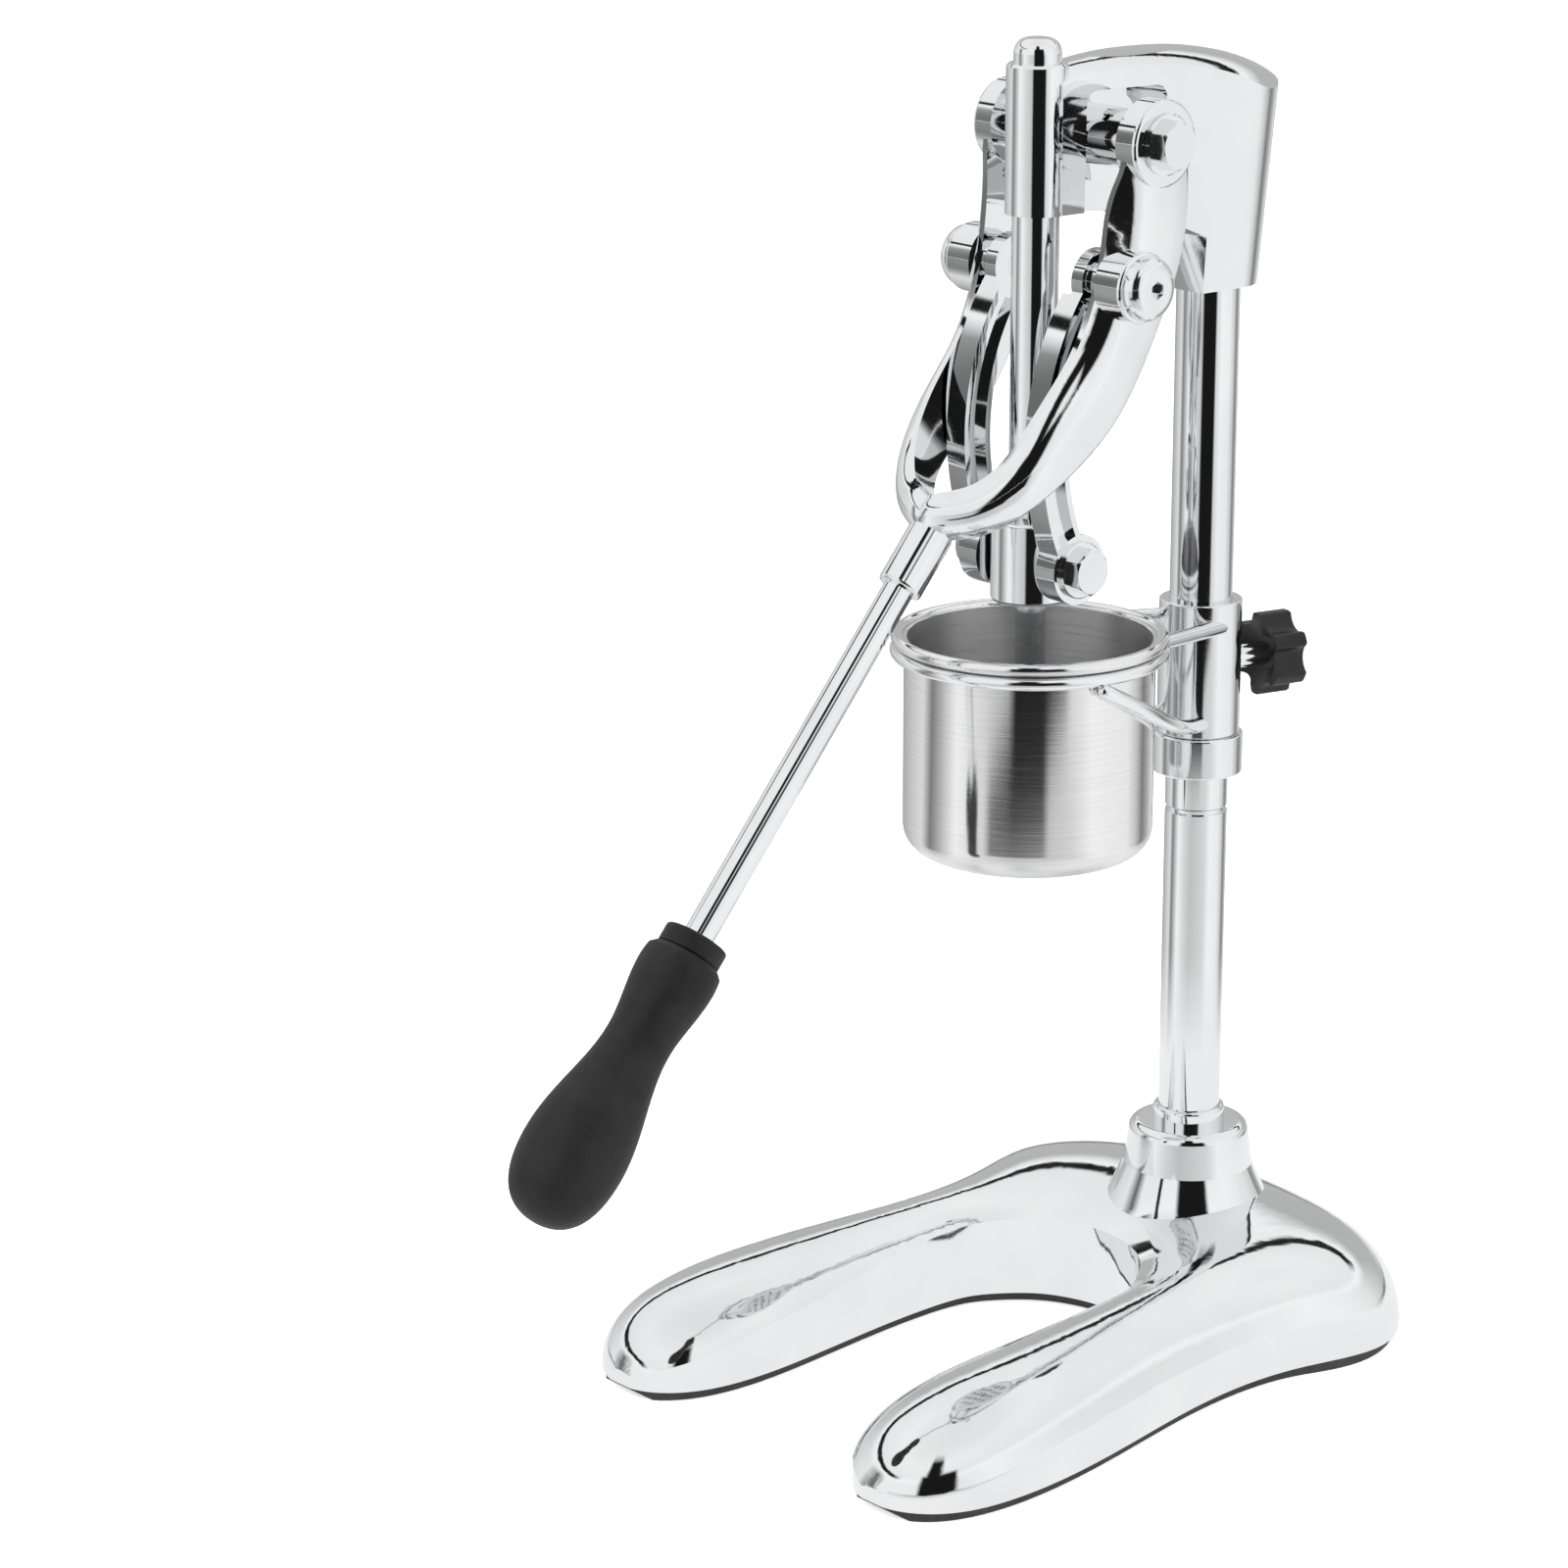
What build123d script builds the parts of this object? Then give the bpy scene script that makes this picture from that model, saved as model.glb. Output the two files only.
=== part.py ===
from build123d import *
import os
from math import cos, radians, sin

os.makedirs("parts", exist_ok=True)

# Millimetres. Z is up, the handle points to -Y, the origin is on the table under the column axis.

# Fits
run_fit = 0.05
side_gap = 0.1
free_gap = 0.3

# Base and its rubber sole
sole_height = 4.0
sole_inset = 2.5
lip_height = 3.0
slot_radius = 47.0
slot_end_y = -47.5
base_rear_y = 61.0
boss_top_z = 74.6
boss_top_radius = 24.0
boss_foot_radius = 33.0
boss_edge = 4.0
skirt_radius = 46.0
base_wall = 7.0
socket_depth = 48.0

# Column
column_dia = 25.0
column_joint_z = 209.0
column_top_gap = 20.6
neck_height = 2.0
neck_depth = 1.2
joint_stud_dia = 12.0
joint_stud_length = 60.0
foot_ring_dia = 29.0
foot_ring_height = 7.0
column_bolt_dia = 10.0
column_bolt_head = 17.0
column_bolt_head_height = 6.4
column_bolt_reach = 30.0
column_washer_dia = 24.0
column_washer_height = 2.0
bolt_well_dia = 27.0
bolt_well_height = 12.0

# Stop collar, holder sleeve and clamp
collar_dia = 36.0
collar_rise = 14.4
collar_height = 16.5
collar_screw_dia = 6.0
sleeve_dia = 33.0
sleeve_height = 54.6
clamp_angle = 75.0
clamp_rise = 28.1
clamp_stud_dia = 9.6
knob_dia = 33.5
knob_thickness = 15.0
knob_start = 26.4
knob_lobes = 6
knob_notch_dia = 13.0
knob_notch_depth = 4.2
knob_recess_dia = 28.0
knob_recess_floor = 13.0
knob_recess_depth = 5.2

# Cup and its ring
ram_reach = 95.0
cup_dia = 97.0
cup_wall = 1.2
cup_height = 87.5
cup_corner = 11.0
rim_rise = 3.0
rim_bead = 4.8
die_hole = 8.0
die_pitch = 12.6
die_circle = 37.0
ring_rod = 5.0
arm_rod = 6.0
arm_ring_angle = 62.0
arm_sleeve_x = 13.0
brace_rod = 6.0
brace_start_angle = -12.0
brace_bend_angle = 30.0
brace_bend_drop = 31.0
brace_rise = 4.4
brace_sleeve_x = 7.0
brace_end_step = 0.1

# Head casting
head_bottom_z = 421.0
head_height = 93.6
housing_foot_radius = 18.6
housing_top_radius = 26.4
guide_dia = 23.5
guide_length = 56.1
web_thickness = 16.0
pocket_front_gap = 13.0
pocket_rear_gap = 25.5
pocket_top_drop = 10.6
pocket_corner = 5.0
crown_half_width = 36.0
crown_half_length = 82.0
crown_height = 30.4
crown_rise = 1.4
crown_setback = 50.0
head_screw_dia = 8.0
head_screw_rise = 27.0

# Lever pivot
pivot_setback = 24.5
pivot_drop = 28.1
pivot_shaft_dia = 14.0
pivot_flange_dia = 35.6
pivot_flange_half = 11.5
pivot_spacer_dia = 22.5
pivot_spacer_length = 21.4
eye_dia = 33.0
eye_width = 10.0
eye_edge = 1.6
pivot_washer_dia = 23.0
pivot_washer_height = 1.8
washer_edge = 0.6
pivot_bolt_dia = 10.0
pivot_bolt_head = 16.5
pivot_bolt_head_height = 5.5
pivot_bolt_reach = 20.0

# Links between lever and ram
link_pivot_setback = 11.0
link_pivot_drop = 51.5
link_drop = 109.0
link_side_gap = 0.7
link_thickness = 9.8
link_width = 13.5
link_flange = 2.6
link_recess = 3.0
link_bow = 18.5
link_top_eye = 24.0
link_eye_relief = 4.0
link_low_eye = 27.0
link_screw_dia = 10.0
link_screw_head = 24.5
link_screw_head_height = 6.5
link_screw_socket = 6.0
link_spacer_dia = 17.5
link_spacer_length = 2.3
arm_boss_dia = 27.0
arm_stub_dia = 20.0
arm_stub_length = 5.0
arm_boss_length = 18.4
arm_front_edge = 2.5
link_bolt_dia = 10.0
link_bolt_head = 16.0
link_bolt_head_height = 5.6
link_washer_dia = 22.0
link_washer_height = 1.8

# Ram
ram_dia = 18.0
ram_top_rise = 9.4
ram_dome = 5.5
crosshead_dia = 31.0
crosshead_drop = 16.0
crosshead_height = 32.0
stem_dia = 12.0
piston_gap = 0.8
piston_lift = 2.2
piston_height = 12.0
piston_hub_dia = 24.0
piston_hub_height = 8.0
piston_nut = 18.0
piston_nut_height = 7.0

# Handle
handle_angle = 49.0
yoke_reach = 76.5
yoke_drop = 141.5
socket_dia = 17.5
socket_length = 26.0
rod_dia = 12.0
rod_insert = 20.0
grip_collar_start = 178.0
grip_collar_dia = 25.0
grip_collar_length = 8.0
grip_length = 112.0
grip_top_dia = 30.0
grip_waist_dia = 25.5
grip_bulb_dia = 40.0
grip_bore_depth = 70.0

# Levels and places that follow from the sizes above
column_radius = column_dia / 2
socket_floor_z = boss_top_z - socket_depth
collar_bottom_z = column_joint_z + collar_rise
collar_top_z = collar_bottom_z + collar_height
sleeve_top_z = collar_top_z + sleeve_height
clamp_z = collar_top_z + clamp_rise
cup_radius = cup_dia / 2
rim_top_z = sleeve_top_z + rim_rise
cup_bottom_z = rim_top_z - cup_height
ring_radius = cup_radius + free_gap + 0.1 + ring_rod / 2
rim_radius = ring_radius - 0.3
ring_z = rim_top_z - rim_bead - free_gap - ring_rod / 2
brace_bend_z = rim_top_z - brace_bend_drop
brace_sleeve_z = collar_top_z + brace_rise
head_top_z = head_bottom_z + head_height
column_top_z = head_top_z - column_top_gap
guide_bottom_z = head_top_z - guide_length
head_screw_z = head_bottom_z + head_screw_rise
pivot_y = pivot_setback - ram_reach
pivot_z = head_top_z - pivot_drop
pocket_front_y = pocket_front_gap - ram_reach
pocket_rear_y = pivot_y + pocket_rear_gap
pocket_top_z = head_top_z - pocket_top_drop
link_pivot_y = link_pivot_setback - ram_reach
link_pivot_z = pivot_z - link_pivot_drop
ram_pivot_z = link_pivot_z - link_drop
ram_bottom_z = ram_pivot_z
ram_top_z = head_top_z + ram_top_rise
crosshead_bottom_z = ram_pivot_z - crosshead_drop
crosshead_top_z = crosshead_bottom_z + crosshead_height
yoke_y = pivot_y - yoke_reach
yoke_z = pivot_z - yoke_drop
eye_inner_x = pivot_flange_half + pivot_spacer_length + side_gap
eye_outer_x = eye_inner_x + eye_width
link_inner_x = crosshead_dia / 2 + link_side_gap
link_outer_x = link_inner_x + link_thickness
link_eye_x = link_inner_x + link_eye_relief
arm_boss_inner_x = link_outer_x + side_gap + link_spacer_length
arm_boss_start_x = arm_boss_inner_x + arm_stub_length
arm_boss_outer_x = arm_boss_inner_x + arm_boss_length
piston_bottom_z = cup_bottom_z + cup_wall + piston_lift


def upright(radius, low, high, x=0.0, y=0.0):
    return Pos(x, y, (low + high) / 2) * Cylinder(radius, high - low)


def across(radius, start, end, y, z):
    return Pos((start + end) / 2, y, z) * Rot(0, 90, 0) * Cylinder(radius, end - start)


def hex_across(flats, start, end, y, z):
    face_plane = Plane((start, y, z), x_dir=(0, 0, 1), z_dir=(1, 0, 0))
    return extrude(face_plane * RegularPolygon(flats / 2, 6, major_radius=False), end - start)


def eased(disc, edge):
    return chamfer(disc.edges().sort_by(Axis.X)[-1], edge)


def bolt_head(flats, start, end, y, z):
    corner_radius = 0.98 * flats / 2 / cos(radians(30))
    blank = eased(across(corner_radius, start, end, y, z), corner_radius - flats / 2)
    return hex_across(flats, start, end, y, z) & blank


def toward_rear(radius, start, end, z):
    return Pos(0, (start + end) / 2, z) * Rot(90, 0, 0) * Cylinder(radius, end - start)


def hex_upright(flats, low, high, x=0.0, y=0.0):
    return extrude(Pos(x, y, low) * RegularPolygon(flats / 2, 6, major_radius=False), high - low)


def both_sides(shape):
    return Compound([shape, mirror(shape, about=Plane.YZ)])


def save(name, shape):
    export_step(shape, f"parts/{name}.step")


# Base: half a horseshoe lofted through upright cross sections a little past the rear, cut and mirrored
def between(inner, outer, share, z):
    return (inner[0] + share * (outer[0] - inner[0]), inner[1] + share * (outer[1] - inner[1]), z)


def base_section(inner, outer, wall_z, crest_z):
    lip_z = sole_height + lip_height
    shoulder_z = lip_z + 0.72 * (crest_z - lip_z)
    low_in = between(inner, outer, 0, sole_height)
    low_out = between(inner, outer, 1, sole_height)
    lip = between(inner, outer, 1, lip_z)
    shoulder = between(inner, outer, 0.87, shoulder_z)
    crest = between(inner, outer, 0.42, crest_z)
    wall = between(inner, outer, 0, wall_z)
    top = Spline(lip, shoulder, crest, wall)
    return make_face([Line(low_in, low_out), Line(low_out, lip), top, Line(wall, low_in)])


def sole_section(inner, outer, wall_z, crest_z):
    width = ((outer[0] - inner[0]) ** 2 + (outer[1] - inner[1]) ** 2) ** 0.5
    start = sole_inset / width
    corners = [(start, 0), (1 - start, 0), (1 - start, sole_height), (start, sole_height)]
    points = [between(inner, outer, share, z) for share, z in corners]
    return make_face(Polyline(*points, close=True).edges())


slot_centre_y = slot_end_y - slot_radius


def slot_point(angle):
    return (slot_radius * cos(radians(angle)), slot_centre_y + slot_radius * sin(radians(angle)))


# Each station: inner point, outer point, height of the inner wall, height of the crest
right_stations = [
    ((67.0, -243.2), (78.0, -243.2), 9.0, 9.8),
    ((56.5, -238.0), (90.0, -238.0), 13.0, 19.0),
    ((47.5, -226.0), (100.0, -226.0), 17.0, 28.5),
    ((42.3, -204.0), (105.6, -204.0), 22.0, 36.0),
    ((43.0, -168.0), (105.0, -168.0), 26.5, 40.0),
    ((46.4, -128.0), (98.8, -126.0), 31.5, 41.3),
    (slot_point(4), (92.2, -80.0), 34.5, 42.0),
    (slot_point(28), (95.0, -32.0), 36.0, 43.0),
    (slot_point(48), (101.5, 8.0), 36.7, 44.3),
    (slot_point(64), (76.0, 43.5), 37.0, 45.3),
    (slot_point(78), (38.0, 57.0), 37.0, 45.8),
]
rear_station = (slot_point(90), (0.0, base_rear_y), 37.0, 46.0)
past_rear = [
    ((-inner[0], inner[1]), (-outer[0], outer[1]), wall_z, crest_z)
    for inner, outer, wall_z, crest_z in right_stations[-1:-3:-1]
]
base_stations = [*right_stations, rear_station, *past_rear]
right_half = Pos(200, 0, 0) * Box(400, 800, 400)


def horseshoe(section, stations):
    half = loft([section(*station) for station in stations]) & right_half
    return half + mirror(half, about=Plane.YZ)


def cavity_section(inner, outer, wall_z, crest_z):
    width = ((outer[0] - inner[0]) ** 2 + (outer[1] - inner[1]) ** 2) ** 0.5
    side = base_wall / width
    shoulder_z = sole_height + 0.5 * (crest_z - sole_height)
    shape = [
        (side, sole_height), (1 - 1.4 * side, sole_height), (0.87 - side, shoulder_z),
        (0.42, crest_z - base_wall), (side, wall_z - base_wall),
    ]
    points = [between(inner, outer, share, z) for share, z in shape]
    return make_face(Polyline(*points, close=True).edges())


base = horseshoe(base_section, base_stations)
base -= horseshoe(cavity_section, base_stations[3:])
boss_height = boss_top_z - sole_height
boss = Pos(0, 0, sole_height + boss_height / 2) * Cone(boss_foot_radius, boss_top_radius, boss_height)
boss = fillet(boss.edges().sort_by(Axis.Z)[-1], boss_edge)
skirt_top_z = boss_top_z - boss_edge - 5.0
skirt_low_z = sole_height + 24.0
with BuildPart() as skirt:
    with BuildSketch(Plane.XZ):
        with BuildLine():
            Spline(
                (boss_top_radius, skirt_top_z),
                (boss_top_radius + 4.5, skirt_top_z - 14.0),
                (skirt_radius, skirt_low_z),
                tangents=[(0.12, -1), (1, -0.55)],
            )
            Polyline((skirt_radius, skirt_low_z), (0, skirt_low_z), (0, skirt_top_z))
            Line((0, skirt_top_z), (boss_top_radius, skirt_top_z))
        make_face()
    revolve(axis=Axis.Z)
base += boss + skirt.part
base -= upright(column_radius + run_fit, socket_floor_z, boss_top_z)
base -= upright(column_bolt_dia / 2 + free_gap, sole_height, socket_floor_z)
base -= upright(bolt_well_dia / 2, sole_height, sole_height + bolt_well_height)
save("base_casting", base)

sole = horseshoe(sole_section, base_stations[1:])
save("base_sole", sole)

# Column bolt from below, through a washer into the lower column
washer_low_z = sole_height + bolt_well_height - column_washer_height
washer = upright(column_washer_dia / 2, washer_low_z, washer_low_z + column_washer_height)
washer -= upright(column_bolt_dia / 2 + free_gap, washer_low_z, washer_low_z + column_washer_height)
save("column_washer", washer)
bolt_top_z = socket_floor_z + column_bolt_reach
bolt = hex_upright(column_bolt_head, washer_low_z - column_bolt_head_height, washer_low_z)
bolt += upright(column_bolt_dia / 2, washer_low_z, bolt_top_z)
save("column_bolt", bolt)

# Column in two lengths on a joint stud
stud_low_z = column_joint_z - joint_stud_length / 2
stud_high_z = column_joint_z + joint_stud_length / 2
lower = upright(column_radius, socket_floor_z, column_joint_z - neck_height)
lower += upright(column_radius - neck_depth, column_joint_z - neck_height, column_joint_z)
lower -= upright(column_bolt_dia / 2, socket_floor_z, bolt_top_z)
lower -= upright(joint_stud_dia / 2, stud_low_z, column_joint_z)
save("column_lower", lower)
upper = upright(column_radius, column_joint_z, column_top_z)
upper = chamfer(upper.edges().sort_by(Axis.Z)[0], neck_depth / 2)
upper -= upright(joint_stud_dia / 2, column_joint_z, stud_high_z)
save("column_upper", upper)
save("column_joint_stud", upright(joint_stud_dia / 2, stud_low_z, stud_high_z))

foot_ring = upright(foot_ring_dia / 2, boss_top_z, boss_top_z + foot_ring_height)
foot_ring = fillet(foot_ring.edges().sort_by(Axis.Z)[-1], 1.4)
foot_ring -= upright(column_radius + run_fit, boss_top_z, boss_top_z + foot_ring_height)
save("column_foot_ring", foot_ring)

# Stop collar under the holder
collar = upright(collar_dia / 2, collar_bottom_z, collar_top_z)
collar = fillet(collar.edges().filter_by(GeomType.CIRCLE), 1.0)
collar_screw_z = collar_bottom_z + collar_height / 2
collar -= toward_rear(collar_screw_dia / 2, 0, collar_dia / 2, collar_screw_z)
collar -= upright(column_radius + run_fit, collar_bottom_z, collar_top_z)
save("stop_collar", collar)
collar_screw = toward_rear(collar_screw_dia / 2, column_radius, collar_dia / 2 - 1.0, collar_screw_z)
collar_screw -= upright(column_radius + run_fit, collar_bottom_z, collar_top_z)
save("collar_set_screw", collar_screw)

# Holder sleeve and its clamp
clamp_turn = Rot(0, 0, clamp_angle)


def along_clamp(radius, start, end):
    return clamp_turn * Pos((start + end) / 2, 0, clamp_z) * Rot(0, 90, 0) * Cylinder(radius, end - start)


sleeve = upright(sleeve_dia / 2, collar_top_z, sleeve_top_z)
sleeve = fillet(sleeve.edges().filter_by(GeomType.CIRCLE), 0.8)
sleeve -= upright(column_radius + run_fit, collar_top_z, sleeve_top_z)
sleeve -= along_clamp(clamp_stud_dia / 2 + run_fit, column_radius, sleeve_dia)
save("holder_sleeve", sleeve)

stud_end = knob_start + knob_thickness - 3.0
clamp_stud = along_clamp(clamp_stud_dia / 2, column_radius + free_gap, stud_end)
save("clamp_stud", clamp_stud)

notch_centre = knob_dia / 2 + knob_notch_dia / 2 - knob_notch_depth
knob_outline = Circle(knob_dia / 2)
for lobe in range(knob_lobes):
    turn = 360 / knob_lobes * (lobe + 0.5)
    knob_outline -= Rot(0, 0, turn) * Pos(notch_centre, 0) * Circle(knob_notch_dia / 2)
knob_outline = fillet(knob_outline.vertices(), 1.8)
knob_plane = Plane((knob_start, 0, clamp_z), x_dir=(0, 0, 1), z_dir=(1, 0, 0))
knob = extrude(knob_plane * knob_outline, knob_thickness)
knob = fillet(knob.faces().sort_by(Axis.X)[-1].edges(), 1.6)
knob = clamp_turn * knob
recess = Cone(knob_recess_dia / 2, knob_recess_floor / 2, knob_recess_depth)
knob -= clamp_turn * Pos(knob_start + knob_recess_depth / 2, 0, clamp_z) * Rot(0, 90, 0) * recess
knob -= along_clamp(clamp_stud_dia / 2, knob_start - 1.0, stud_end)
save("clamp_knob", knob)

# Cup with rolled rim and an extrusion grid in its bottom
cup_axis = Pos(0, -ram_reach, 0)
with BuildPart() as cup_shell:
    with BuildSketch(Plane.XZ):
        with BuildLine():
            inner_radius = cup_radius - cup_wall
            wall_top_z = rim_top_z - rim_bead / 2
            floor_z = cup_bottom_z + cup_wall
            Polyline((0, floor_z), (0, cup_bottom_z), (cup_radius, cup_bottom_z), (cup_radius, wall_top_z))
            Line((cup_radius, wall_top_z), (inner_radius, wall_top_z))
            Polyline((inner_radius, wall_top_z), (inner_radius, floor_z), (0, floor_z))
        outline = make_face()
        fillet(outline.vertices().group_by(Axis.X)[-1].sort_by(Axis.Y)[0], cup_corner)
        inner_corner = [v for v in vertices() if abs(v.X - inner_radius) < 0.01 and v.Y < wall_top_z - 1]
        fillet(inner_corner, cup_corner - cup_wall)
    revolve(axis=Axis.Z)
cup = cup_shell.part
cup += Pos(0, 0, wall_top_z) * Torus(rim_radius, rim_bead / 2)
rim_web = upright(rim_radius, wall_top_z - cup_wall, wall_top_z)
cup += rim_web - upright(inner_radius, wall_top_z - cup_wall, wall_top_z)
for column in range(-4, 5):
    for row in range(-4, 5):
        hole_x = column * die_pitch
        hole_y = row * die_pitch
        reach = ((abs(hole_x) + die_hole / 2) ** 2 + (abs(hole_y) + die_hole / 2) ** 2) ** 0.5
        if reach < die_circle:
            cup -= Pos(hole_x, hole_y, cup_bottom_z) * Box(die_hole, die_hole, 4 * cup_wall)
cup = cup_axis * cup
save("cup", cup)

# Ring that holds the cup, with two arms and two braces to the sleeve
ring = cup_axis * Pos(0, 0, ring_z) * Torus(ring_radius, ring_rod / 2)
save("holder_ring", ring)


def ring_point(angle, radius, z):
    return (radius * cos(radians(angle)), -ram_reach + radius * sin(radians(angle)), z)


sleeve_core = upright(sleeve_dia / 2, collar_top_z, sleeve_top_z)
arm_start = Vector(*ring_point(arm_ring_angle, ring_radius, ring_z - 1.2))
arm_end = Vector(arm_sleeve_x, 0, ring_z - 5.0)
arm_line = Line(arm_start, arm_end)
arm = sweep(Plane(arm_start, z_dir=arm_end - arm_start) * Circle(arm_rod / 2), arm_line)
arm = arm - sleeve_core - ring - cup_axis * upright(cup_radius + free_gap, 0, head_top_z)
arm = arm.solids().sort_by(SortBy.VOLUME)[-1]
save("holder_arms", both_sides(arm))

brace_radius = cup_radius + free_gap + 0.1 + brace_rod / 2
brace_top_z = ring_z - ring_rod / 2 - brace_rod / 2 + 1.0
brace_middle = (brace_start_angle + brace_bend_angle) / 2
brace_middle_z = brace_top_z - 0.53 * (brace_top_z - brace_bend_z)
brace_path = Spline(
    ring_point(brace_start_angle, brace_radius, brace_top_z),
    ring_point(brace_middle, brace_radius, brace_middle_z),
    ring_point(brace_bend_angle, brace_radius + 0.6, brace_bend_z),
    (brace_sleeve_x, 0, brace_sleeve_z),
)
brace = sweep(Plane(brace_path @ 0, z_dir=brace_path % 0) * Circle(brace_rod / 2), brace_path)
brace += Pos(brace_path @ 0) * Sphere(brace_rod / 2 - brace_end_step)
brace = brace - sleeve_core - ring
brace = brace.solids().sort_by(SortBy.VOLUME)[-1]
save("holder_braces", both_sides(brace))


# Head casting: tapered housing on the column, arm and ram guide
def head_outline(z):
    share = (z - head_bottom_z) / (head_top_z + 2.0 - head_bottom_z)
    housing_radius = housing_foot_radius + share * (housing_top_radius - housing_foot_radius)
    nose = Pos(0, -ram_reach) * Circle(guide_dia / 2 - 0.6)
    return Pos(0, 0, z) * make_hull([*Circle(housing_radius).edges(), *nose.edges()])


head = loft([head_outline(head_bottom_z), head_outline(head_top_z + 2.0)])
rear_y = 2 * housing_top_radius
front_y = -ram_reach - guide_dia
step_y = -housing_foot_radius - 2.6
profile = Polyline(
    (rear_y, head_top_z),
    (rear_y, head_bottom_z),
    (step_y, head_bottom_z),
    (step_y, head_bottom_z + 22.0),
    (-0.4 * ram_reach, head_bottom_z + 29.0),
    (pivot_y + 5.5, guide_bottom_z - 1.5),
    (pocket_front_y, guide_bottom_z),
    (front_y, guide_bottom_z),
    (front_y, head_top_z),
    close=True,
)
side_view = Plane.YZ * make_face(profile.edges())
head = head & extrude(side_view, rear_y, both=True)
crown_z = head_top_z + crown_rise - crown_height
crown_y = crown_setback - ram_reach
crown = scale(Sphere(1), by=(crown_half_width, crown_half_length, crown_height))
crown = crown + Pos(0, 0, -crown_z / 2) * Box(4 * crown_half_width, 4 * crown_half_length, crown_z)
head = head & Pos(0, crown_y, crown_z) * crown
pocket_bottom_z = head_bottom_z - 10.0
pocket_width = 2 * housing_top_radius
for side in (-1, 1):
    pocket_x = side * (web_thickness / 2 + pocket_width / 2)
    pocket_y = (pocket_front_y + pocket_rear_y) / 2
    pocket_z = (pocket_bottom_z + pocket_top_z) / 2
    pocket = Box(pocket_width, pocket_rear_y - pocket_front_y, pocket_top_z - pocket_bottom_z)
    pocket = fillet(pocket.edges().filter_by(Axis.X).group_by(Axis.Z)[-1], pocket_corner)
    head -= Pos(pocket_x, pocket_y, pocket_z) * pocket
guide = upright(guide_dia / 2, guide_bottom_z, head_top_z, 0, -ram_reach)
guide = chamfer(guide.edges().sort_by(Axis.Z)[-1], 1.0)
head += guide
head += across(pivot_flange_dia / 2, -pivot_flange_half, pivot_flange_half, pivot_y, pivot_z)
head -= upright(ram_dia / 2 + run_fit, guide_bottom_z - 5.0, head_top_z + 5.0, 0, -ram_reach)
head -= upright(column_radius + run_fit, head_bottom_z - 5.0, column_top_z)
head -= across(pivot_shaft_dia / 2, -pivot_flange_half, pivot_flange_half, pivot_y, pivot_z)
head -= toward_rear(head_screw_dia / 2, 0, rear_y, head_screw_z)
save("head_casting", head)
head_screw = toward_rear(head_screw_dia / 2, column_radius, housing_foot_radius, head_screw_z)
head_screw -= upright(column_radius + run_fit, head_bottom_z, head_top_z)
save("head_set_screw", head_screw)

# Lever pivot: shaft held in the head, spacers, washers and end bolts
shaft_end_x = eye_outer_x + side_gap
washer_end_x = shaft_end_x + pivot_washer_height
shaft = across(pivot_shaft_dia / 2, -shaft_end_x, shaft_end_x, pivot_y, pivot_z)
bolt_start_x = shaft_end_x - pivot_bolt_reach
shaft -= both_sides(across(pivot_bolt_dia / 2, bolt_start_x, shaft_end_x, pivot_y, pivot_z))
save("pivot_shaft", shaft)
spacer = across(pivot_spacer_dia / 2, pivot_flange_half, eye_inner_x - side_gap, pivot_y, pivot_z)
spacer -= across(pivot_shaft_dia / 2, pivot_flange_half, eye_inner_x, pivot_y, pivot_z)
save("pivot_spacers", both_sides(spacer))
pivot_washer = eased(across(pivot_washer_dia / 2, shaft_end_x, washer_end_x, pivot_y, pivot_z), washer_edge)
pivot_washer -= across(pivot_bolt_dia / 2 + run_fit, shaft_end_x, washer_end_x, pivot_y, pivot_z)
save("pivot_washers", both_sides(pivot_washer))
pivot_bolt_end = washer_end_x + pivot_bolt_head_height
pivot_bolt = bolt_head(pivot_bolt_head, washer_end_x, pivot_bolt_end, pivot_y, pivot_z)
pivot_bolt += across(pivot_bolt_dia / 2, bolt_start_x, washer_end_x, pivot_y, pivot_z)
save("pivot_bolts", both_sides(pivot_bolt))

# Lever: each arm is lofted through rounded sections and joins its twin in a yoke with the handle socket
handle_dir = Vector(0, -cos(radians(handle_angle)), -sin(radians(handle_angle)))
handle_side = Vector(0, sin(radians(handle_angle)), -cos(radians(handle_angle)))
eye_mid_x = (eye_inner_x + eye_outer_x) / 2


def arm_section(x, y, z, direction, width, thickness):
    along = Vector(*direction)
    flat = Vector(1, 0, 0).cross(along)
    if flat.length < 0.01:
        flat = handle_side
    rear = width / 2
    outer = thickness / 2
    brow = (-0.03 * width, outer)
    nose = (-rear, arm_front_edge - outer)
    heel = (rear - 3.0, outer - 1.0)
    toe = (rear - 3.0, -outer)
    outline = [
        Line((-rear, -outer), nose),
        TangentArc(brow, nose, tangent=(-1, 0)),
        TangentArc(brow, heel, tangent=(1, 0)),
        ThreePointArc(heel, (rear, 0), toe),
        Line(toe, (-rear, -outer)),
    ]
    return Plane((x, y, z), x_dir=flat, z_dir=along) * make_face(outline)


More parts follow.
